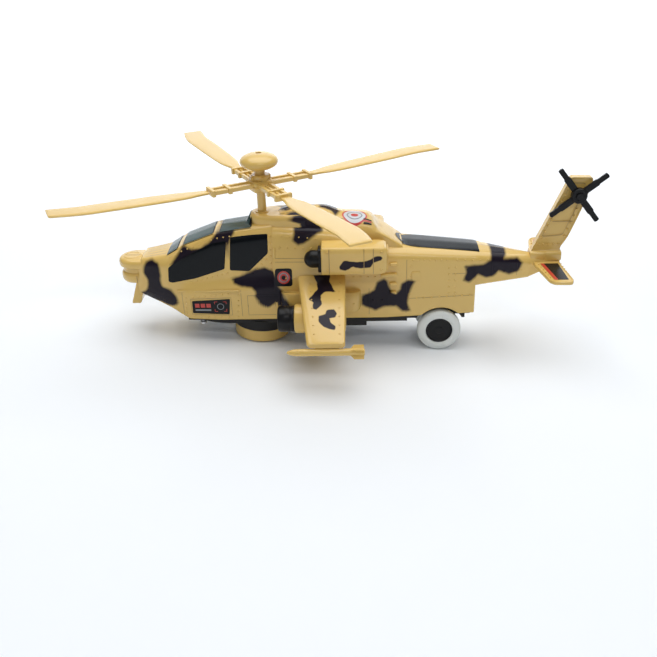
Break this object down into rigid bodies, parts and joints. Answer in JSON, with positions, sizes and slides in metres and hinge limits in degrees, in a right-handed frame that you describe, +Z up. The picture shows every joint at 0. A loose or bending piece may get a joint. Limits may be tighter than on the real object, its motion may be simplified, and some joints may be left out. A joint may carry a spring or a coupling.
{
  "type": "toy helicopter",
  "caption": "Moulded plastic toy attack helicopter with a spinning main rotor and tail rotor, stub wings, a swivelling drive turret under the front and free-rolling rear wheels.",
  "frame": {"origin": "on the ground, on the mid-plane, below the middle of the overall length from the rotor blade tip in front to the tail rotor tip", "axes": "+Z up, -X towards the nose, +Y to the side away from the tail rotor; the fuselage stands 3.8 degrees nose-down in this frame"},
  "size_m": [0.4043, 0.2856, 0.151],
  "materials": {
    "tan_plastic": "glossy tan plastic with sprayed black-brown camouflage",
    "black_plastic": "moulded black plastic",
    "smoked_glazing": "dark smoked clear plastic",
    "steel": "plain steel",
    "cell_wrap": "plain printed cell sleeve",
    "circuit_board": "green lacquered board",
    "gear_plastic": "natural white gear plastic",
    "black_rubber": "soft black rubber",
    "pale_tyre": "off-white soft plastic tyre"
  },
  "bodies": {
    "fuselage": {"body_shell_left": "tan_plastic", "body_shell_right": "tan_plastic", "nose_sensor": "tan_plastic", "canopy_glazing": "smoked_glazing", "boom_glazing": "smoked_glazing", "chassis": "black_plastic", "chassis_screws": "steel", "battery_door": "black_plastic", "battery_cells": "cell_wrap", "battery_contacts": "steel", "speaker": "black_plastic", "lamp_board": "circuit_board", "boom_lamp_board": "circuit_board", "gear_case": "black_plastic", "drive_motor": "steel", "mast_bearing": "tan_plastic", "nacelle_left": "tan_plastic", "nacelle_right": "tan_plastic", "intake_left": "black_plastic", "intake_right": "black_plastic", "wing_left": "tan_plastic", "wing_right": "tan_plastic", "pod_left": "tan_plastic", "pod_right": "tan_plastic", "pod_cap_left": "black_plastic", "pod_cap_right": "black_plastic", "missile_left": "tan_plastic", "missile_right": "tan_plastic", "tail_fin": "tan_plastic", "stabiliser_left": "tan_plastic", "stabiliser_right": "tan_plastic", "tail_rotor_pin": "black_plastic"},
    "main_rotor": {"rotor_mast": "tan_plastic", "mast_gear": "gear_plastic", "rotor_hub": "tan_plastic", "rotor_blade_1": "tan_plastic", "rotor_blade_2": "tan_plastic", "rotor_blade_3": "tan_plastic", "rotor_blade_4": "tan_plastic", "rotor_dome": "tan_plastic"},
    "counter_gear": {"counter_gear": "gear_plastic"},
    "motor_pinion": {"motor_pinion": "gear_plastic"},
    "drive_shaft": {"drive_shaft": "steel", "drive_gear": "gear_plastic"},
    "turret": {"turret_drum": "tan_plastic", "turret_clip": "black_plastic"},
    "drive_wheels": {"drive_axle": "steel", "crown_gear": "gear_plastic", "drive_wheel_left": "black_plastic", "drive_wheel_right": "black_plastic", "drive_tyre_left": "black_rubber", "drive_tyre_right": "black_rubber"},
    "rear_wheels": {"rear_axle": "steel", "rear_wheel_left": "black_plastic", "rear_wheel_right": "black_plastic", "rear_tyre_left": "pale_tyre", "rear_tyre_right": "pale_tyre"},
    "tail_rotor": {"tail_rotor": "black_plastic"},
    "power_switch": {"switch_slider": "black_plastic"}
  },
  "joints": [
    {"name": "main_rotor_spin", "type": "hinge", "parent": "fuselage", "child": "main_rotor", "pos_m": [-0.05939, 0, 0.12653], "axis": [-0.0663, 0, 0.9978], "continuous": true},
    {"name": "counter_gear_spin", "type": "hinge", "parent": "fuselage", "child": "counter_gear", "pos_m": [-0.07348, 0, 0.04903], "axis": [-0.0663, 0, 0.9978], "continuous": true},
    {"name": "motor_pinion_spin", "type": "hinge", "parent": "fuselage", "child": "motor_pinion", "pos_m": [-0.08805, 0, 0.04806], "axis": [-0.0663, 0, 0.9978], "continuous": true},
    {"name": "drive_shaft_spin", "type": "hinge", "parent": "fuselage", "child": "drive_shaft", "pos_m": [-0.0572, 0, 0.03], "axis": [0, 0, 1], "continuous": true},
    {"name": "turret_swivel", "type": "hinge", "parent": "fuselage", "child": "turret", "pos_m": [-0.0572, 0, 0.02], "axis": [0, 0, 1], "continuous": true},
    {"name": "drive_wheels_spin", "type": "hinge", "parent": "turret", "child": "drive_wheels", "pos_m": [-0.0572, 0, 0.0068], "axis": [0, 1, 0], "continuous": true},
    {"name": "rear_wheels_spin", "type": "hinge", "parent": "fuselage", "child": "rear_wheels", "pos_m": [0.0858, 0, 0.0175], "axis": [0, 1, 0], "continuous": true},
    {"name": "tail_rotor_spin", "type": "hinge", "parent": "fuselage", "child": "tail_rotor", "pos_m": [0.18102, -0.007, 0.12987], "axis": [0, 1, 0], "continuous": true},
    {"name": "power_switch_slide", "type": "slide", "parent": "fuselage", "child": "power_switch", "axis": [0.9978, 0, 0.0663], "range_m": [0, 0.0036]}
  ],
  "couplings": [
    {"joint": "counter_gear_spin", "follows": "main_rotor_spin", "ratio": -1.639},
    {"joint": "motor_pinion_spin", "follows": "main_rotor_spin", "ratio": 5.302},
    {"joint": "drive_shaft_spin", "follows": "main_rotor_spin", "ratio": 0.838},
    {"joint": "drive_wheels_spin", "follows": "main_rotor_spin", "ratio": 0.449}
  ]
}
